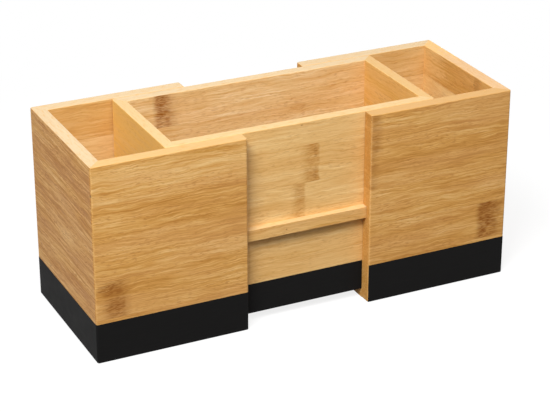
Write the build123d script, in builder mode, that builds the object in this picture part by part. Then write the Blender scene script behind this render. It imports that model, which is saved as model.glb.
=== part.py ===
from build123d import *
import os

# Extending utensil caddy made of bamboo boards. Sizes are in millimetres.
# X runs along the length, Y from the front (-Y) to the back, and Z up from the table. The origin is
# the middle of the footprint. A fixed centre box hangs by two guide rails between two open-ended
# sleeves, which stand on the table and draw out to the left and the right.

# Outside sizes
height = 150.0           # table to rim
sleeve_depth = 121.5     # front to back over the sleeves
centre_length = 213.0    # along X over the centre box
sleeve_pull = 48.5       # how far each sleeve is drawn out of its closed place

# Boards
sleeve_wall = 10.0
centre_wall = 8.5
sleeve_floor_thickness = 6.2
centre_floor_thickness = 6.0
mitre_angle = 45.0
square_angle = 90.0
corner_radius = 1.5      # eased upright corners
edge_radius = 0.8        # eased rims and lower edges

# Guide rails
rail_height = 9.2
rail_thickness = 5.2     # stands this far out of the centre box
rail_bottom = 67.2       # table to the underside of the rail
rail_edge_radius = 0.5

# Clearances
side_gap = 0.5           # sleeve wall to centre box
floor_gap = 0.5          # sleeve floor to the underside of the centre box
groove_gap = 0.4         # all round the rail in its groove
end_gap = 0.5            # end panel to centre box, with the sleeve pushed in
meeting_gap = 0.6        # between the two sleeves, with both pushed in

# Sizes that follow
sleeve_closed_end = centre_length / 2 + end_gap + sleeve_wall
sleeve_length = sleeve_closed_end - meeting_gap / 2
sleeve_end = sleeve_closed_end + sleeve_pull
sleeve_middle = sleeve_end - sleeve_length / 2
sleeve_room = sleeve_depth - 2 * sleeve_wall
sleeve_run = sleeve_length - sleeve_wall
centre_depth = sleeve_room - 2 * side_gap
centre_bottom = sleeve_floor_thickness + floor_gap
centre_height = height - centre_bottom
rail_middle = rail_bottom + rail_height / 2
groove_height = rail_height + 2 * groove_gap
groove_face = centre_depth / 2 + rail_thickness + groove_gap

# Places. A wall's plane has its X axis along the outer face and its Y axis into the wall.
centre_front = Plane((0, -centre_depth / 2, centre_bottom))
centre_left = Plane((-centre_length / 2, 0, centre_bottom), x_dir=(0, -1, 0), z_dir=(0, 0, 1))
sleeve_front = Plane((-sleeve_middle, -sleeve_depth / 2, 0))
sleeve_left = Plane((-sleeve_end, 0, 0), x_dir=(0, -1, 0), z_dir=(0, 0, 1))
left_end_inside = Plane.YZ.offset(sleeve_wall - sleeve_end)
rail_left_end = Plane.YZ.offset(-centre_length / 2)


def draw_wall(length, wall, right_angle):
    """Plan of a wall, with its left end mitred and its outer corners eased."""
    on_outer_face = (Align.CENTER, Align.MIN)
    Trapezoid(length, wall, mitre_angle, right_angle, align=on_outer_face)
    RectangleRounded(length, length, corner_radius, align=on_outer_face, mode=Mode.INTERSECT)


def ease_wall(wall, along, outward):
    """Rounds both long edges of a wall's rim, and the outer one of its underside."""
    rim = wall.faces().sort_by(Axis.Z)[-1].edges().filter_by(along)
    underside = wall.faces().sort_by(Axis.Z)[0].edges().filter_by(along)
    fillet(rim + underside.sort_by(outward)[-1:], edge_radius)


# Centre box
with BuildPart() as centre_front_panel:
    with BuildSketch(centre_front):
        draw_wall(centre_length, centre_wall, mitre_angle)
    extrude(amount=centre_height)
    ease_wall(centre_front_panel, Axis.X, -Axis.Y)
centre_front_panel.part.label = "centre_front_panel"

with BuildPart() as centre_back_panel:
    mirror(centre_front_panel.part, about=Plane.XZ)
centre_back_panel.part.label = "centre_back_panel"

with BuildPart() as centre_left_wall:
    with BuildSketch(centre_left):
        draw_wall(centre_depth, centre_wall, mitre_angle)
    extrude(amount=centre_height)
    ease_wall(centre_left_wall, Axis.Y, -Axis.X)
centre_left_wall.part.label = "centre_left_wall"

with BuildPart() as centre_right_wall:
    mirror(centre_left_wall.part, about=Plane.YZ)
centre_right_wall.part.label = "centre_right_wall"

with BuildPart() as centre_floor:
    with BuildSketch(Plane.XY.offset(centre_bottom)):
        Rectangle(centre_length - 2 * centre_wall, centre_depth - 2 * centre_wall)
    extrude(amount=centre_floor_thickness)
centre_floor.part.label = "centre_floor"

# Guide rails, glued along the front and back of the centre box
with BuildPart() as front_guide_rail:
    with BuildSketch(rail_left_end):
        with Locations((-centre_depth / 2, rail_middle)):
            Rectangle(rail_thickness, rail_height, align=(Align.MAX, Align.CENTER))
    extrude(amount=centre_length)
    outer_face = front_guide_rail.faces().sort_by(Axis.Y)[0]
    fillet(outer_face.edges(), rail_edge_radius)
front_guide_rail.part.label = "front_guide_rail"

with BuildPart() as back_guide_rail:
    mirror(front_guide_rail.part, about=Plane.XZ)
back_guide_rail.part.label = "back_guide_rail"

# Left sleeve, open towards the middle of the caddy
with BuildPart() as left_front_panel:
    with BuildSketch(sleeve_front):
        draw_wall(sleeve_length, sleeve_wall, square_angle)
    extrude(amount=height)
    ease_wall(left_front_panel, Axis.X, -Axis.Y)
    with BuildSketch(left_end_inside):
        with Locations((-groove_face, rail_middle)):
            Rectangle(groove_face, groove_height, align=(Align.MIN, Align.CENTER))
    extrude(amount=sleeve_run, mode=Mode.SUBTRACT)
left_front_panel.part.label = "left_front_panel"

with BuildPart() as left_back_panel:
    mirror(left_front_panel.part, about=Plane.XZ)
left_back_panel.part.label = "left_back_panel"

with BuildPart() as left_end_panel:
    with BuildSketch(sleeve_left):
        draw_wall(sleeve_depth, sleeve_wall, mitre_angle)
    extrude(amount=height)
    ease_wall(left_end_panel, Axis.Y, -Axis.X)
left_end_panel.part.label = "left_end_panel"

with BuildPart() as left_floor:
    with BuildSketch(left_end_inside):
        Rectangle(sleeve_room, sleeve_floor_thickness, align=(Align.CENTER, Align.MIN))
    extrude(amount=sleeve_run)
left_floor.part.label = "left_floor"

# Right sleeve, the left one's mirror image
with BuildPart() as right_front_panel:
    mirror(left_front_panel.part, about=Plane.YZ)
right_front_panel.part.label = "right_front_panel"

with BuildPart() as right_back_panel:
    mirror(left_back_panel.part, about=Plane.YZ)
right_back_panel.part.label = "right_back_panel"

with BuildPart() as right_end_panel:
    mirror(left_end_panel.part, about=Plane.YZ)
right_end_panel.part.label = "right_end_panel"

with BuildPart() as right_floor:
    mirror(left_floor.part, about=Plane.YZ)
right_floor.part.label = "right_floor"

# One file for each piece
os.makedirs("parts", exist_ok=True)
export_step(centre_front_panel.part, "parts/centre_front_panel.step")
export_step(centre_back_panel.part, "parts/centre_back_panel.step")
export_step(centre_left_wall.part, "parts/centre_left_wall.step")
export_step(centre_right_wall.part, "parts/centre_right_wall.step")
export_step(centre_floor.part, "parts/centre_floor.step")
export_step(front_guide_rail.part, "parts/front_guide_rail.step")
export_step(back_guide_rail.part, "parts/back_guide_rail.step")
export_step(left_front_panel.part, "parts/left_front_panel.step")
export_step(left_back_panel.part, "parts/left_back_panel.step")
export_step(left_end_panel.part, "parts/left_end_panel.step")
export_step(left_floor.part, "parts/left_floor.step")
export_step(right_front_panel.part, "parts/right_front_panel.step")
export_step(right_back_panel.part, "parts/right_back_panel.step")
export_step(right_end_panel.part, "parts/right_end_panel.step")
export_step(right_floor.part, "parts/right_floor.step")
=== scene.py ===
import math

import bpy
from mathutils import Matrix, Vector


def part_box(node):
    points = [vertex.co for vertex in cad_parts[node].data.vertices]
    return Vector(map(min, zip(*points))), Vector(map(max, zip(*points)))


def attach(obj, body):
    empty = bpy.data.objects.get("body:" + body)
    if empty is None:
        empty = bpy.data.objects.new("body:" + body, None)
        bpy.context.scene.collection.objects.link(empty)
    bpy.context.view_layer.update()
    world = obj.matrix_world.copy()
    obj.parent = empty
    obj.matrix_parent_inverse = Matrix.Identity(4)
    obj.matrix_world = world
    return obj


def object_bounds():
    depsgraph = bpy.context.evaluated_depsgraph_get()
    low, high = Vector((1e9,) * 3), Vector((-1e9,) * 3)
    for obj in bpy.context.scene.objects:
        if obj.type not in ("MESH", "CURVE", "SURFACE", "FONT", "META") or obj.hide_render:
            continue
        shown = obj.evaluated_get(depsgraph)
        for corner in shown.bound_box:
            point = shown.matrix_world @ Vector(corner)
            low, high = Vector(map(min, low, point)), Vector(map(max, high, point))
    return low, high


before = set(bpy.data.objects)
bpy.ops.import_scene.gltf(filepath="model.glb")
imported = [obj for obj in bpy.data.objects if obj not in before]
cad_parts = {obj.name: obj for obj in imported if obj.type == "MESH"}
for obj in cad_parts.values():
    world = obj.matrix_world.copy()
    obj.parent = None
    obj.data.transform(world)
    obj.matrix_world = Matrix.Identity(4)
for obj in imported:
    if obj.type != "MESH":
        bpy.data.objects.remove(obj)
cad_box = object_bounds()

MM = 0.001
X, Y, Z = 0, 1, 2

# Real sizes of the boards and of the paint
STRIP = 29.2 * MM            # height of one bamboo strip in a board
GLUE_LINE = 0.25 * MM
CORNER_RADIUS = 1.5 * MM     # eased upright corners
EDGE_RADIUS = 0.8 * MM       # eased lower edges
BAND_TOP = 30.6 * MM         # table to the top of the painted foot
COAT = 0.12 * MM             # how far the paint stands out of the wood
SOAKED_IN = 0.10 * MM        # how far it goes into the wood


# ---------------------------------------------------------------- wiring a finish

class Wire:
    """A value on its way through a finish. Python's operators on it add Math nodes."""

    def __init__(self, nodes, socket):
        self.nodes = nodes
        self.socket = socket

    def __add__(self, other):
        return self.nodes.maths("ADD", self, other)

    def __sub__(self, other):
        return self.nodes.maths("SUBTRACT", self, other)

    def __rsub__(self, other):
        return self.nodes.maths("SUBTRACT", other, self)

    def __mul__(self, other):
        return self.nodes.maths("MULTIPLY", self, other)

    def __truediv__(self, other):
        return self.nodes.maths("DIVIDE", self, other)

    def __rtruediv__(self, other):
        return self.nodes.maths("DIVIDE", other, self)

    def __pow__(self, power):
        return self.nodes.maths("POWER", self, power)

    def __abs__(self):
        return self.nodes.maths("ABSOLUTE", self)

    __radd__ = __add__
    __rmul__ = __mul__

    def whole(self):
        return self.nodes.maths("FLOOR", self)

    def fraction(self):
        return self.nodes.maths("FRACT", self)

    def larger(self, other):
        return self.nodes.maths("MAXIMUM", self, other)

    def rise(self, low, high):
        """Smoothly from 0, where the value is low, to 1, where it is high."""
        settings = {"interpolation_type": "SMOOTHSTEP"}
        values = {"Value": self, "From Min": low, "From Max": high}
        return self.nodes.node("ShaderNodeMapRange", settings, values)


class Nodes:
    """The nodes of a material, or of the room around the caddy."""

    def __init__(self, tree):
        self.tree = tree
        self.tree.nodes.clear()

    def node(self, kind, settings, inputs):
        """Adds a node: first its settings, then its sockets' values or wires, by name or in order."""
        made = self.tree.nodes.new(kind)
        for key, value in settings.items():
            if key == "stops":
                fill_ramp(made.color_ramp, value)
            elif key == "interpolation":
                made.color_ramp.interpolation = value
            else:
                setattr(made, key, value)
        sockets = [socket for socket in made.inputs if socket.enabled]
        by_name = {socket.name: socket for socket in sockets}
        for key, value in inputs.items() if isinstance(inputs, dict) else enumerate(inputs):
            socket = by_name[key] if isinstance(key, str) else sockets[key]
            if isinstance(value, Wire):
                self.tree.links.new(value.socket, socket)
            else:
                socket.default_value = value
        given = [socket for socket in made.outputs if socket.enabled]
        return Wire(self, given[0]) if given else None

    def outputs(self, wire):
        """Everything that the node behind a wire gives, by name."""
        return {socket.name: Wire(self, socket) for socket in wire.socket.node.outputs}

    def maths(self, operation, *values):
        return self.node("ShaderNodeMath", {"operation": operation}, values)

    def split(self, vector):
        """The three parts of a vector."""
        return list(self.outputs(self.node("ShaderNodeSeparateXYZ", {}, [vector])).values())

    def join(self, *parts):
        return self.node("ShaderNodeCombineXYZ", {}, parts)

    def mix(self, start, end, share):
        """A colour between two colours."""
        return self.node("ShaderNodeMix", {"data_type": "RGBA"}, [share, start, end])

    def noise(self, place, detail=2.0, roughness=0.5):
        inputs = {"Vector": place, "Scale": 1.0, "Detail": detail, "Roughness": roughness}
        return self.node("ShaderNodeTexNoise", {}, inputs)

    def ramp(self, value, stops, interpolation="LINEAR"):
        return self.node("ShaderNodeValToRGB", {"stops": stops, "interpolation": interpolation}, [value])

    def coordinates(self):
        """Where a place lies on its piece, and the way that the surface faces there."""
        given = self.outputs(self.node("ShaderNodeTexCoord", {}, {}))
        return given["Object"], given["Normal"]

    def seen_directly(self):
        """1 for the camera, mirrors and glass, and 0 for the light that bounces off."""
        rays = self.outputs(self.node("ShaderNodeLightPath", {}, {}))
        return rays["Is Camera Ray"].larger(rays["Is Glossy Ray"]).larger(rays["Is Transmission Ray"])


class Finish(Nodes):
    """A material in the making."""

    def __init__(self, name):
        self.material = bpy.data.materials.new(name)
        self.material.use_nodes = True
        super().__init__(self.material.node_tree)

    def surface(self, shader):
        self.node("ShaderNodeOutputMaterial", {}, {"Surface": shader})
        return self.material

    def coated(self, colour, roughness, gloss, relief, relief_share, relief_depth):
        """The whole material: a colour and a fine relief under a coat of lacquer or paint."""
        bump = {"Strength": relief_share, "Distance": relief_depth, "Height": relief}
        return self.surface(self.node("ShaderNodeBsdfPrincipled", {}, {
            "Base Color": colour,
            "Roughness": roughness,
            "Specular IOR Level": gloss,
            "Normal": self.node("ShaderNodeBump", {}, bump),
        }))


def fill_ramp(ramp, stops):
    """Sets a ramp's first and last stops, which are there already, and adds those between."""
    for element, (position, colour) in zip(ramp.elements, (stops[0], stops[-1])):
        element.position = position
        element.color = colour
    for position, colour in stops[1:-1]:
        ramp.elements.new(position).color = colour


def rgb(red, green, blue):
    return (red, green, blue, 1.0)


def add(name, data):
    """A new object in the scene."""
    made = bpy.data.objects.new(name, data)
    bpy.context.scene.collection.objects.link(made)
    return made


# ---------------------------------------------------------------- bamboo

CREAM = rgb(0.90, 0.63, 0.29)
STRAW = rgb(0.79, 0.478, 0.175)
HONEY = rgb(0.65, 0.328, 0.080)
CARAMEL = rgb(0.48, 0.205, 0.038)
ROSE_TAN = rgb(0.69, 0.365, 0.138)
# painted light: the golden glow of light bouncing between the walls inside the caddy
BOUNCE_GLOW_GOLD = rgb(0.93, 0.585, 0.13)
FIBRE_BROWN = rgb(0.41, 0.15, 0.028)
KNOT_BROWN = rgb(0.27, 0.085, 0.008)
KNOT_AMBER = rgb(0.44, 0.17, 0.014)
RIM_CREAM = rgb(0.69, 0.48, 0.235)
RIM_PALE = rgb(0.66, 0.50, 0.30)
RIM_TAN = rgb(0.69, 0.445, 0.235)
RIM_GOLD = rgb(0.66, 0.42, 0.172)
RIM_HONEY = rgb(0.61, 0.36, 0.135)
CUT_ORANGE = rgb(0.60, 0.285, 0.055)
SCORCH = rgb(0.045, 0.022, 0.010)
AMBER = rgb(0.50, 0.23, 0.025)

SHADES = [(0.0, CREAM), (0.3, STRAW), (0.65, HONEY), (1.0, CARAMEL)]     # from pale to dark wood
MOST_STRIPS = 8              # places for the strips' own tones

# The grain's sizes along and across the strips, and how much fine detail it has
SWAY = (55 * MM, 20 * MM, 2.0)           # slow bends of the grain
RIPPLE = (9 * MM, 6 * MM, 1.0)           # small waves in it
BANDS = (110 * MM, 9 * MM, 2.0)          # broad pale and dark bands
WARMTH = (80 * MM, 14 * MM, 1.0)         # rosy places
STREAKS = (60 * MM, 1.8 * MM, 2.0)
FIBRES = (18 * MM, 0.70 * MM, 1.0)
PORES = (4.6 * MM, 0.80 * MM, 1.0)       # short brown dashes
PATCHES = (36 * MM, 7 * MM, 2.0)         # places where the dashes are darker
FLECKS = (4.5 * MM, 0.95 * MM, 2.0)      # dark flecks in knots and marks
CLOUDS = (14 * MM, 6 * MM, 1.0)          # soft dark places in knots
RIM_FLECKS = (7 * MM, 1.6 * MM, 2.0)     # worn places on the rim

SWAY_HEIGHT = 6.0 * MM
RIPPLE_HEIGHT = 2.2 * MM
NEXT_STRIP = 0.437           # how far the next strip's grain is shifted, in metres
NEXT_BOARD = 0.731           # and the next board's

# Values of the noise at which each of these begins to show, and at which it is whole
WARMTH_RANGE = (-0.16, 0.20)
PORES_RANGE = (0.04, 0.15)
PATCHES_RANGE = (-0.12, 0.14)
FLECKS_RANGE = (-0.08, 0.12)
CLOUDS_RANGE = (-0.20, 0.16)
WORN_RANGE = (0.48, 0.72)

# How squarely a surface has to face a way for a look to begin, and to be whole
FACES_IN = (0.3, 0.7)        # the inner look
FACES_UP = (0.35, 0.9)       # the rim's
FACES_ENDWAYS = (0.75, 0.95)             # the cut ends'
TURNED_AWAY = (0.03, 0.25)   # the eased edges', by how far they are from facing any way

# How strongly each thing shows
BANDS_SHOW = 0.75
STREAKS_SHOW = 0.85
# the painted golden glow of bounced light
BOUNCE_GLOW_SHOWS = 0.7
PORES_SHOW = 0.14
PATCHES_SHOW = 0.30          # on top of the pores
JOINTS_SHOW = 0.28
KNOTS_SHOW = 0.22
CLOUDS_SHOW = 0.24           # on top of the knots
KNOT_FLECKS_SHOW = 0.30      # on top of the knots
MARKS_SHOW = 0.40
MARK_FLECKS_SHOW = 0.60      # on top of the marks
# the eased edges' paler look: worn wood and a painted highlight where they catch the light
EASED_EDGE_HIGHLIGHT_AND_WEAR_SHOWS = 0.18
RIMS_SHOW = 0.92
RIM_STREAKS_SHOW = 0.6       # on top of the rims
WORN_RIMS_SHOW = 0.45
CUTS_SHOW = 0.42
CUT_WARMTH_SHOWS = 0.8       # on top of the cut ends

RIM_RANGE = (3 * MM, 2 * MM)             # below a board's top, where the rim's look begins and is whole
KNOT_WAVES = 7.0             # waves of a knot's edge in a strip's height
KNOT_DETAIL = 3.0
KNOT_WOBBLE = 6.0 * MM       # how far the edge strays
KNOT_SWAY = 3.0 * MM         # and how far it bends with the grain
KNOT_FADES = (0.30, 1.0)     # where it begins to fade, and is gone, as shares of its length
OWN_STRIP = (0.4, 0.6)       # strips away from its own, where it stops
NEXT_KNOT = 77.0             # gives knots in other places other edges
MARK_RAGGED = 3.0            # how far streaks pull a mark's edge

GREEN_OUT = 0.08             # what a warmer colour loses of its green
BLUE_OUT = 0.28              # and of its blue

# The lacquer's roughness, and how much duller it is in places
SATIN = 0.50
STREAKS_DULL = 0.30
PORES_DULL = 0.06
CUTS_DULL = 0.12
SATIN_GLOSS = 0.22

# The fine relief of the wood: how far each thing stands up or sinks in, in parts of RELIEF_DEPTH
FIBRES_STAND = 1.2
STREAKS_STAND = 0.5
PORES_SINK = 0.6
JOINTS_SINK = 0.8
RELIEF_SHARE = 0.45
RELIEF_DEPTH = 0.12 * MM


def warmed(colour, share):
    """The same colour with some of its green and blue taken out."""
    red, green, blue, opaque = colour
    return (red, green * (1 - GREEN_OUT * share), blue * (1 - BLUE_OUT * share), opaque)


class Bamboo(Finish):
    """Satin-lacquered bamboo strips, glued edge to edge into one board.

    seed gives the board its own grain, grain is the axis that the strips run along, and top_strip the
    height of the strip at the rim. The strips lie one above the other, or side by side in a board that
    is laid flat.
    """

    def __init__(self, node_name, seed, grain, top_strip, laid_flat):
        super().__init__("bamboo_" + node_name)
        self.seed = seed
        self.low, self.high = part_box(node_name)
        self.lengthways, self.sideways = (X, Y) if grain == "X" else (Y, X)
        where, facing = self.coordinates()
        place = self.split(where)
        self.facing = self.split(facing)
        self.along = place[self.lengthways]
        self.across = place[self.sideways if laid_flat else Z]
        self.through = place[Z if laid_flat else self.sideways]
        rim = cad_box[1].y if laid_flat else cad_box[1].z
        down = (rim - self.across + (STRIP - top_strip)) / STRIP
        self.strip = down.whole()
        self.in_strip = down.fraction()
        self.own_along = self.along + self.strip * NEXT_STRIP + seed * NEXT_BOARD
        self.grow()
        self.cut = abs(self.facing[self.lengthways]).rise(*FACES_ENDWAYS)
        from_joint = 0.5 - abs(self.in_strip - 0.5)
        self.joint = 1 - from_joint.rise(0.0, GLUE_LINE / STRIP)

    def grow(self):
        """The grain, from its slow bends to its pores."""
        self.sway = self.waves(*SWAY)
        self.bent = self.across + self.sway * SWAY_HEIGHT + self.waves(*RIPPLE) * RIPPLE_HEIGHT
        self.warmth = self.drawn_out(*WARMTH)
        self.streaks = self.drawn_out(*STREAKS)
        self.fibres = self.drawn_out(*FIBRES)
        self.pores = self.drawn_out(*PORES).rise(*PORES_RANGE)
        self.patches = self.drawn_out(*PATCHES).rise(*PATCHES_RANGE)
        self.flecks = self.drawn_out(*FLECKS).rise(*FLECKS_RANGE)
        self.lines = self.drawn_out(*BANDS) * BANDS_SHOW + self.streaks * STREAKS_SHOW + self.fibres

    def waves(self, length, width, detail):
        """Noise over the board's face, about 0."""
        return self.noise(self.join(self.own_along / length, self.across / width, 0.0), detail) - 0.5

    def drawn_out(self, length, width, detail):
        """Noise drawn out along the bent grain, about 0."""
        place = self.join(self.own_along / length, self.bent / width, self.through / width)
        return self.noise(place, detail) - 0.5

    def wood(self, tones, figure=1.0, rosy=0.35, orange=0.0, bounce_glow=0.0):
        """The wood's colour, and on some faces a painted glow of bounced light.

        tones are how dark each strip is from the rim down, and figure is how strong the grain is. rosy,
        orange and golden are how much of each tint there is, and orange below 0 takes warmth away. The
        gold
        tint is painted light: the glow of light bouncing between the walls inside the caddy.
        """
        greys = [(n / MOST_STRIPS, rgb(tone, tone, tone)) for n, tone in enumerate(tones)]
        tone = self.ramp((self.strip + 0.5) / MOST_STRIPS, greys, "CONSTANT") + self.lines * figure
        colour = self.ramp(tone, [(position, warmed(shade, orange)) for position, shade in SHADES])
        colour = self.mix(colour, ROSE_TAN, self.warmth.rise(*WARMTH_RANGE) * rosy)
        # painted bounce light: a golden glow laid over the wood
        if bounce_glow:
            colour = self.mix(colour, BOUNCE_GLOW_GOLD, BOUNCE_GLOW_SHOWS * bounce_glow + self.streaks * bounce_glow)
        dashes = self.pores * (PORES_SHOW + self.patches * PATCHES_SHOW) * figure
        return self.mix(colour, FIBRE_BROWN, dashes)

    def inner_face_for_painted_light(self):
        """1 on the face that looks into the caddy, and 0 on the other one."""
        middle = self.low[self.sideways] + self.high[self.sideways]
        inwards = -1.0 if middle > 0 else 1.0
        return (self.facing[self.sideways] * inwards).rise(*FACES_IN)

    def knot(self, strip, edge, fade, depth, softness):
        """How much of a knot there is at each place: a wavy edge that fades along the grain.

        softness is how soft the edge is, as a share of the length over which the knot fades.
        """
        edge = edge * MM
        wavy = self.in_strip * KNOT_WAVES + edge * NEXT_KNOT
        wobble = self.noise(self.join(wavy, strip, 0.0), KNOT_DETAIL) - 0.5
        beyond = self.along - edge + wobble * KNOT_WOBBLE + self.sway * KNOT_SWAY
        reach = beyond / (fade * MM)
        profile = reach.rise(-softness, softness) * (1 - reach.rise(*KNOT_FADES))
        in_place = 1 - abs(self.strip - strip).rise(*OWN_STRIP)
        return profile * in_place * depth

    def knotted(self, colour, knots, tint):
        """The board's knots, cloudy and flecked."""
        clouds = self.drawn_out(*CLOUDS).rise(*CLOUDS_RANGE)
        depth = sum(self.knot(**knot) for knot in knots)
        share = depth * (KNOTS_SHOW + clouds * CLOUDS_SHOW + self.flecks * KNOT_FLECKS_SHOW)
        return self.mix(colour, tint, share)

    def eased(self, colour):
        """Eased edges and corners, a little paler than the faces: worn wood and a painted highlight."""
        x, y, z = [abs(part) for part in self.facing]
        slant = 1 - x.larger(y).larger(z)
        return self.mix(colour, RIM_CREAM, slant.rise(*TURNED_AWAY) * EASED_EDGE_HIGHLIGHT_AND_WEAR_SHOWS)

    def rimmed(self, colour, tint):
        """The pale rim on top, with worn places."""
        begins, whole = [self.high.z - below for below in RIM_RANGE]
        on_rim = self.facing[Z].rise(*FACES_UP) * self.across.rise(begins, whole)
        length, width, detail = RIM_FLECKS
        place = self.join(self.own_along / length, self.through / width, self.seed)
        worn = self.noise(place, detail).rise(*WORN_RANGE)
        colour = self.mix(colour, tint, on_rim * (RIMS_SHOW + self.streaks * RIM_STREAKS_SHOW))
        return self.mix(colour, HONEY, on_rim * (worn * WORN_RIMS_SHOW))

    def cut_ends(self, colour):
        """The orange edges that the board was sawn across."""
        share = self.cut * (CUTS_SHOW + self.warmth * CUT_WARMTH_SHOWS + self.fibres)
        return self.mix(colour, CUT_ORANGE, share)

    def mark_or_painted_light(self, colour, tint, strength, at, half):
        """One scorch, sap or knot mark, or a pale patch of painted light, an oval with a ragged edge."""
        out = ((self.along - at[0] * MM) / (half[0] * MM)) ** 2.0
        out = out + ((self.across - at[1] * MM) / (half[1] * MM)) ** 2.0 + self.streaks * MARK_RAGGED
        blotch = (1 - out.rise(0.0, 1.0)) * (MARKS_SHOW + self.flecks * MARK_FLECKS_SHOW)
        return self.mix(colour, tint, blotch * strength)

    def lacquered(self, colour):
        """The satin lacquer over it all."""
        roughness = SATIN + self.streaks * STREAKS_DULL + self.pores * PORES_DULL + self.cut * CUTS_DULL
        relief = self.fibres * FIBRES_STAND + self.streaks * STREAKS_STAND
        relief = relief - self.pores * PORES_SINK - self.joint * JOINTS_SINK
        return self.coated(colour, roughness, SATIN_GLOSS, relief, RELIEF_SHARE, RELIEF_DEPTH)


def bamboo(node_name, seed, grain, side, inside=None, top_strip=STRIP, rim_tint=RIM_CREAM,
           knots=(), knot_tint=KNOT_BROWN, marks=(), laid_flat=False):
    """One board's material. side is its wood, and inside that of its inner face, if it differs, toned
    to paint the light and shade inside the caddy.
    """
    board = Bamboo(node_name, seed, grain, top_strip, laid_flat)
    colour = board.wood(**side)
    if inside:
        # the inner face's copy of the wood is toned to paint the light and shade inside the caddy
        colour = board.mix(colour, board.wood(**inside), board.inner_face_for_painted_light())
    colour = board.mix(colour, FIBRE_BROWN, board.joint * JOINTS_SHOW)
    if knots:
        colour = board.knotted(colour, knots, knot_tint)
    colour = board.eased(colour)
    if not laid_flat:
        colour = board.rimmed(colour, rim_tint)
    colour = board.cut_ends(colour)
    for mark in marks:
        colour = board.mark_or_painted_light(colour, **mark)
    return board.lacquered(colour)


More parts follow.
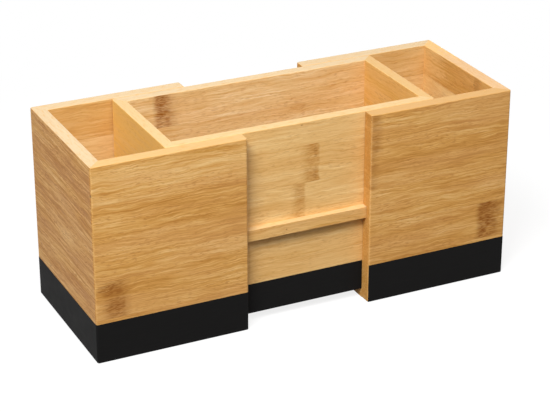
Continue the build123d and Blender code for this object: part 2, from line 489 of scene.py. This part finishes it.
# The boards, whose order gives each its own grain. Knots and marks are placed in millimetres, a knot
# by its edge and a mark by its middle: how far along the grain, and for a mark how high above the
# table. Strips count from 0 at the rim. A knot fades out from its edge over the length called fade,
# the way that its sign points. half is half a mark's length and half its height.
BACK_TONES = [0.52, 0.60, 0.56, 0.64, 0.58, 0.60]
# Inner faces are toned apart from the outer faces to paint the light and shade inside the caddy.
SLEEVE_INSIDE_WITH_PAINTED_LIGHT = dict(tones=[0.50, 0.56, 0.50, 0.56, 0.50, 0.5], figure=0.6, orange=-1.0)
BOARDS = {
    "left_front_panel": dict(
        grain="X", rim_tint=RIM_GOLD, side=dict(tones=[0.49, 0.66, 0.64, 0.66, 0.71, 0.65]),
        inside=SLEEVE_INSIDE_WITH_PAINTED_LIGHT,
        knots=[dict(strip=3, edge=-142.0, fade=-23, depth=0.95, softness=0.22)],
        marks=[
            dict(tint=SCORCH, strength=0.85, at=(-165.2, 129), half=(1.3, 1.1)),
            dict(tint=AMBER, strength=0.75, at=(-74, 146.6), half=(26, 1.6)),
            dict(tint=KNOT_BROWN, strength=0.80, at=(-155.5, 56), half=(9.5, 6.5)),
            dict(tint=KNOT_BROWN, strength=0.80, at=(-151.5, 42.5), half=(10.0, 8.5)),
        ],
    ),
    "right_front_panel": dict(
        grain="X", rim_tint=RIM_HONEY, side=dict(tones=[0.59, 0.66, 0.62, 0.66, 0.66, 0.64]),
        inside=SLEEVE_INSIDE_WITH_PAINTED_LIGHT,
        knots=[
            dict(strip=3, edge=142.0, fade=26, depth=1.55, softness=0.13),
            dict(strip=0, edge=48.0, fade=12, depth=0.8, softness=0.08),
            dict(strip=1, edge=48.5, fade=9, depth=0.6, softness=0.08),
        ],
        marks=[dict(tint=KNOT_BROWN, strength=0.5, at=(158, 60), half=(8, 2.0))],
    ),
    "centre_front_panel": dict(
        grain="X", top_strip=18 * MM,
        side=dict(tones=[0.25, 0.31, 0.24, 0.35, 0.38, 0.31], figure=0.62, rosy=0.1),
        inside=dict(tones=[0.38, 0.46, 0.40, 0.44, 0.4, 0.4], figure=0.7, rosy=0.2, orange=-1.0),
        knots=[
            dict(strip=1, edge=12.0, fade=-17, depth=1.0, softness=0.06),
            dict(strip=2, edge=1.2, fade=-13, depth=0.85, softness=0.10),
        ],
        knot_tint=KNOT_AMBER,
        marks=[
            dict(tint=KNOT_BROWN, strength=0.5, at=(-1.7, 148.0), half=(1.2, 0.8)),
            dict(tint=KNOT_BROWN, strength=0.4, at=(9.4, 126), half=(1.6, 5.0)),
            dict(tint=KNOT_BROWN, strength=0.4, at=(9.0, 108), half=(2.4, 5.0)),
        ],
    ),
    "centre_back_panel": dict(
        grain="X", top_strip=26 * MM, rim_tint=RIM_PALE,
        side=dict(tones=[0.30, 0.38, 0.28, 0.36, 0.32, 0.36], figure=0.7, rosy=0.15),
        inside=dict(tones=[0.37, 0.46, 0.42, 0.4, 0.4, 0.4], figure=0.8, rosy=0.2, orange=-1.7),
        knots=[dict(strip=0, edge=-76.5, fade=21, depth=1.25, softness=0.12)],
        marks=[dict(tint=KNOT_AMBER, strength=0.36, at=(41, 122), half=(10, 6))],
    ),
    "left_back_panel": dict(
        grain="X", top_strip=28 * MM, rim_tint=RIM_PALE, side=dict(tones=BACK_TONES),
        inside=dict(tones=[0.62, 0.42, 0.46, 0.50, 0.50, 0.5], figure=0.5, rosy=0.05, orange=-1.3),
    ),
    "right_back_panel": dict(
        grain="X", top_strip=24 * MM, rim_tint=RIM_PALE, side=dict(tones=BACK_TONES[::-1]),
        inside=dict(tones=[0.51, 0.42, 0.44, 0.4, 0.5, 0.5], figure=0.55, rosy=0.1, orange=-1.5),
    ),
    "left_end_panel": dict(
        grain="Y", rim_tint=RIM_PALE,
        side=dict(tones=[0.78, 0.75, 0.67, 0.65, 0.66, 0.62], figure=1.4, rosy=0.25, orange=0.6),
        inside=dict(tones=[0.56, 0.50, 0.54, 0.50, 0.5, 0.5], figure=0.6, orange=-0.6),
        marks=[dict(tint=SCORCH, strength=0.9, at=(-59.9, 129), half=(1.5, 1.3))],
    ),
    "right_end_panel": dict(
        grain="Y", top_strip=24 * MM, rim_tint=RIM_TAN,
        side=dict(tones=[0.58, 0.66, 0.54, 0.62, 0.58, 0.6]),
        # The very pale second strip inside, and the large straw oval below on both faces, paint a patch
        # of light on the inner face; the gold tint is painted bounce light.
        inside=dict(tones=[0.69, -0.08, 0.30, 0.5, 0.5, 0.5], figure=0.7, bounce_glow=0.15),
        knots=[dict(strip=0, edge=-24.5, fade=-14, depth=0.5, softness=0.08)],
        marks=[
            # painted light: a large pale patch, not a mark in the wood
            dict(tint=STRAW, strength=1.35, at=(54, 138), half=(44, 44)),
            dict(tint=SCORCH, strength=0.7, at=(-24.5, 143), half=(0.8, 0.8)),
        ],
    ),
    "centre_left_wall": dict(
        # the face toward the left compartment is toned pale and gold to paint the bounce light there
        grain="Y", side=dict(tones=[0.30, 0.34, 0.36, 0.4, 0.4, 0.4], figure=0.35, bounce_glow=0.75),
        inside=dict(tones=[0.38, 0.46, 0.42, 0.4, 0.4, 0.4], figure=0.7, orange=-0.8),
    ),
    "centre_right_wall": dict(
        grain="Y", rim_tint=RIM_GOLD, side=dict(tones=[0.38, 0.46, 0.42, 0.4, 0.4, 0.4], figure=0.7),
        # the inner face gets painted golden bounce light
        inside=dict(tones=[0.49, 0.53, 0.49, 0.4, 0.4, 0.4], figure=0.7, bounce_glow=0.3),
    ),
    "front_guide_rail": dict(
        grain="X", side=dict(tones=[0.46, 0.46, 0.46, 0.46], figure=0.7),
        marks=[dict(tint=KNOT_BROWN, strength=0.8, at=(-16, 71.5), half=(0.9, 0.9))],
    ),
    "back_guide_rail": dict(grain="X", side=dict(tones=[0.50, 0.50, 0.50, 0.50], figure=0.7)),
    "centre_floor": dict(grain="X", side=dict(tones=[0.40, 0.52, 0.36, 0.46]), laid_flat=True),
    "left_floor": dict(grain="X", side=dict(tones=[0.36, 0.50, 0.42, 0.46]), laid_flat=True),
    "right_floor": dict(grain="X", side=dict(tones=[0.48, 0.38, 0.50, 0.42]), laid_flat=True),
}

for seed, (node_name, board) in enumerate(BOARDS.items()):
    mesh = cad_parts[node_name].data
    mesh.materials.clear()
    mesh.materials.append(bamboo(node_name, seed, **board))


# ---------------------------------------------------------------- painted foot

PAINT_BLACK = rgb(0.0066, 0.0064, 0.0063)
PAINT_WORN = rgb(0.0118, 0.0113, 0.0111)
PAINT_ROUGHNESS = 0.64
PAINT_GLOSS = 0.05
PAINT_RELIEF_SHARE = 0.35
PAINT_RELIEF_DEPTH = 0.10 * MM
GRAIN_LENGTH = 22 * MM       # of the grain that shows through the paint
GRAIN_WIDTH = 0.8 * MM
GRAIN_COARSENESS = 0.6
GRAIN_DULLS = 0.16
MOTTLE = 9 * MM              # size of the duller and shinier places
MOTTLE_DULLS = 0.12
PAINT_DETAIL = 3.0
ON_END = (0.6, 0.8)          # how squarely a surface faces endways for the grain to run along Y

EDGE_STEPS = 6               # flats in an eased lower edge
CORNER_STEPS = 8             # flats in a rounded upright corner
PAINT_WRAPS = 45             # degrees by which the paint goes round a panel's rounded free edge


def matt_black():
    """Thin matt black paint that lets the grain below show a little."""
    finish = Finish("matt_black_paint")
    where, facing = finish.coordinates()
    x, y, z = finish.split(where)
    on_end = abs(finish.split(facing)[X]).rise(*ON_END)
    along = x + on_end * (y - x)
    through = y + on_end * (x - y)
    drawn_out = finish.join(along / GRAIN_LENGTH, z / GRAIN_WIDTH, through / GRAIN_WIDTH)
    grain = finish.noise(drawn_out, PAINT_DETAIL, GRAIN_COARSENESS)
    mottle = finish.noise(finish.join(x / MOTTLE, y / MOTTLE, z / MOTTLE), PAINT_DETAIL)
    colour = finish.mix(PAINT_BLACK, PAINT_WORN, grain)
    roughness = PAINT_ROUGHNESS + (mottle - 0.5) * MOTTLE_DULLS + (grain - 0.5) * GRAIN_DULLS
    return finish.coated(colour, roughness, PAINT_GLOSS, grain, PAINT_RELIEF_SHARE, PAINT_RELIEF_DEPTH)


def foot_profile(foot):
    """Section of the coat as (distance out of the board's face, height), from the foot up and back."""
    outside = []
    inside = []
    start = math.acos(EDGE_RADIUS / (EDGE_RADIUS + COAT))
    for step in range(EDGE_STEPS + 1):
        turn = start + (math.pi / 2 - start) * step / EDGE_STEPS
        for side, radius in ((outside, EDGE_RADIUS + COAT), (inside, EDGE_RADIUS - SOAKED_IN)):
            out = radius * math.sin(turn) - EDGE_RADIUS
            side.append((out, foot + EDGE_RADIUS - radius * math.cos(turn)))
    outside += [(COAT, BAND_TOP - COAT), (0.0, BAND_TOP)]
    inside += [(-SOAKED_IN, BAND_TOP)]
    return outside + inside[::-1]


def rounded(centre, radius, first, last):
    """Points of an arc in plan, each with the direction that faces out of it, angles in degrees."""
    points = []
    for step in range(CORNER_STEPS + 1):
        turn = math.radians(first + (last - first) * step / CORNER_STEPS)
        out = Vector((math.cos(turn), math.sin(turn)))
        points.append((Vector(centre) + radius * out, out))
    return points


def sleeve_plan(side, front, end):
    """Outer faces of a sleeve from its front free edge round the end to its back one.

    side is -1 for the left sleeve and 1 for the right one.
    """
    low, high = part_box(front)
    end_low, end_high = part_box(end)
    free_edge = min(abs(low.x), abs(high.x))
    end_face = max(abs(end_low.x), abs(end_high.x))
    face = -low.y - CORNER_RADIUS
    near = side * (free_edge + CORNER_RADIUS)
    far = side * (end_face - CORNER_RADIUS)
    half = rounded((near, -face), CORNER_RADIUS, -90 - side * PAINT_WRAPS, -90)
    half += rounded((far, -face), CORNER_RADIUS, -90, -90 + side * 90)
    back = [(Vector((point.x, -point.y)), Vector((out.x, -out.y))) for point, out in reversed(half)]
    return half + back


def centre_plan(node, outward):
    """Outer face of the centre box's front or back panel, between its eased corners.

    outward is -1 for the front panel and 1 for the back one.
    """
    low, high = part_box(node)
    face = (high.y if outward > 0 else -low.y) - CORNER_RADIUS
    end = -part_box("centre_left_wall")[0].x - CORNER_RADIUS
    left = rounded((-end, outward * face), CORNER_RADIUS, outward * (90 + PAINT_WRAPS), outward * 90)
    right = rounded((end, outward * face), CORNER_RADIUS, outward * 90, outward * (90 - PAINT_WRAPS))
    return left + right


def paint_band(name, plan, profile, body):
    """A coat of paint that follows a line in plan, as one closed skin."""
    corners = []
    for point, out in plan:
        for distance, height in profile:
            corners.append((*(point + out * distance), height))
    ring = len(profile)
    faces = []
    for station in range(len(plan) - 1):
        low = station * ring
        for step in range(ring):
            after = (step + 1) % ring
            faces.append((low + step, low + after, low + ring + after, low + ring + step))
    faces.append(tuple(range(ring))[::-1])
    faces.append(tuple(range(len(corners) - ring, len(corners))))
    mesh = bpy.data.meshes.new(name)
    mesh.from_pydata(corners, [], faces)
    mesh.validate()
    band = add(name, mesh)
    mesh.materials.append(BLACK)
    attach(band, body)


BLACK = matt_black()

for body, front, end, side in (
    ("left_sleeve", "left_front_panel", "left_end_panel", -1),
    ("right_sleeve", "right_front_panel", "right_end_panel", 1),
):
    paint_band(body + "_foot_paint", sleeve_plan(side, front, end), foot_profile(0.0), body)

for node, outward in (("centre_front_panel", -1), ("centre_back_panel", 1)):
    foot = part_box(node)[0].z
    paint_band(node + "_foot_paint", centre_plan(node, outward), foot_profile(foot), "centre_box")


# ---------------------------------------------------------------- studio

WHITE = rgb(1.0, 1.0, 1.0)
FLOOR_SIZE = 8.0
SEEN_FLOOR = rgb(0.95, 0.95, 0.95)
DIM_FLOOR = rgb(0.12, 0.12, 0.12)        # for light on its way to the caddy, so that little gets there
SHADOW_SHARE = 0.18          # how much of the floor's own shading the camera sees
SHADOW_REACH = (0.24, 0.50)  # metres from the caddy's middle over which it fades to plain white
ROOM_LIGHT = 0.25
LAMPS_AIM = (0, 0, 0.1)      # the point that the softboxes look at
SENSOR_WIDTH = 36.0          # of the camera, in millimetres
NEAREST_SEEN = 0.01          # metres from the camera


def studio_floor():
    """A white floor that keeps the soft shadow near the caddy."""
    half = FLOOR_SIZE / 2
    corners = [(-half, -half, 0), (half, -half, 0), (half, half, 0), (-half, half, 0)]
    mesh = bpy.data.meshes.new("floor")
    mesh.from_pydata(corners, [], [(0, 1, 2, 3)])
    floor = add("floor", mesh)
    finish = Finish("white_floor")
    distance = finish.node("ShaderNodeVectorMath", {"operation": "LENGTH"}, [finish.coordinates()[0]])
    plain_white = 1 - SHADOW_SHARE * (1 - distance.rise(*SHADOW_REACH))
    seen = finish.seen_directly()
    matt = finish.node("ShaderNodeBsdfDiffuse", {}, {"Color": finish.mix(DIM_FLOOR, SEEN_FLOOR, seen)})
    white = finish.node("ShaderNodeEmission", {}, {"Color": WHITE, "Strength": 1.0})
    shader = finish.node("ShaderNodeMixShader", {}, [plain_white * seen, matt, white])
    mesh.materials.append(finish.surface(shader))


def white_room(strength):
    """A white surround that lights the caddy only softly."""
    world = bpy.data.worlds.new("white_room")
    bpy.context.scene.world = world
    world.use_nodes = True
    room = Nodes(world.node_tree)
    level = strength + (1 - strength) * room.seen_directly()
    background = room.node("ShaderNodeBackground", {}, {"Color": WHITE, "Strength": level})
    room.node("ShaderNodeOutputWorld", {}, {"Surface": background})


def stand(name, data, aim, azimuth, elevation, distance):
    """A lamp or camera that looks at a point, from that many degrees left of the front and that high."""
    around = math.radians(azimuth)
    up = math.radians(elevation)
    away = (-math.sin(around) * math.cos(up), -math.cos(around) * math.cos(up), math.sin(up))
    made = add(name, data)
    made.location = Vector(aim) + Vector(away) * distance
    made.rotation_euler = Vector(away).to_track_quat("Z", "Y").to_euler()
    return made


def softbox(name, azimuth, elevation, distance, size, watts, glossy=True):
    """A square soft lamp. glossy says whether gloss mirrors it."""
    light = bpy.data.lights.new(name, "AREA")
    light.shape = "SQUARE"
    light.size = size
    light.energy = watts
    lamp = stand(name, light, LAMPS_AIM, azimuth, elevation, distance)
    lamp.visible_camera = False
    lamp.visible_glossy = glossy


def camera(aim, azimuth, elevation, distance, lens):
    """The camera, with the length of its lens in millimetres."""
    made = bpy.data.cameras.new("camera")
    made.lens = lens
    made.sensor_width = SENSOR_WIDTH
    made.clip_start = NEAREST_SEEN
    bpy.context.scene.camera = stand("camera", made, aim, azimuth, elevation, distance)


studio_floor()
white_room(ROOM_LIGHT)
softbox("left_softbox", azimuth=46, elevation=50, distance=1.8, size=0.65, watts=35.0)
softbox("front_softbox", azimuth=0, elevation=56, distance=1.8, size=1.2, watts=12.0)
softbox("back_softbox", azimuth=218, elevation=8, distance=1.8, size=0.6, watts=24.0, glossy=False)
camera(aim=(0.0006, -0.0016, 0.0642), azimuth=25.70, elevation=24.80, distance=1.42, lens=124.43)
bpy.context.scene.view_settings.view_transform = "Standard"
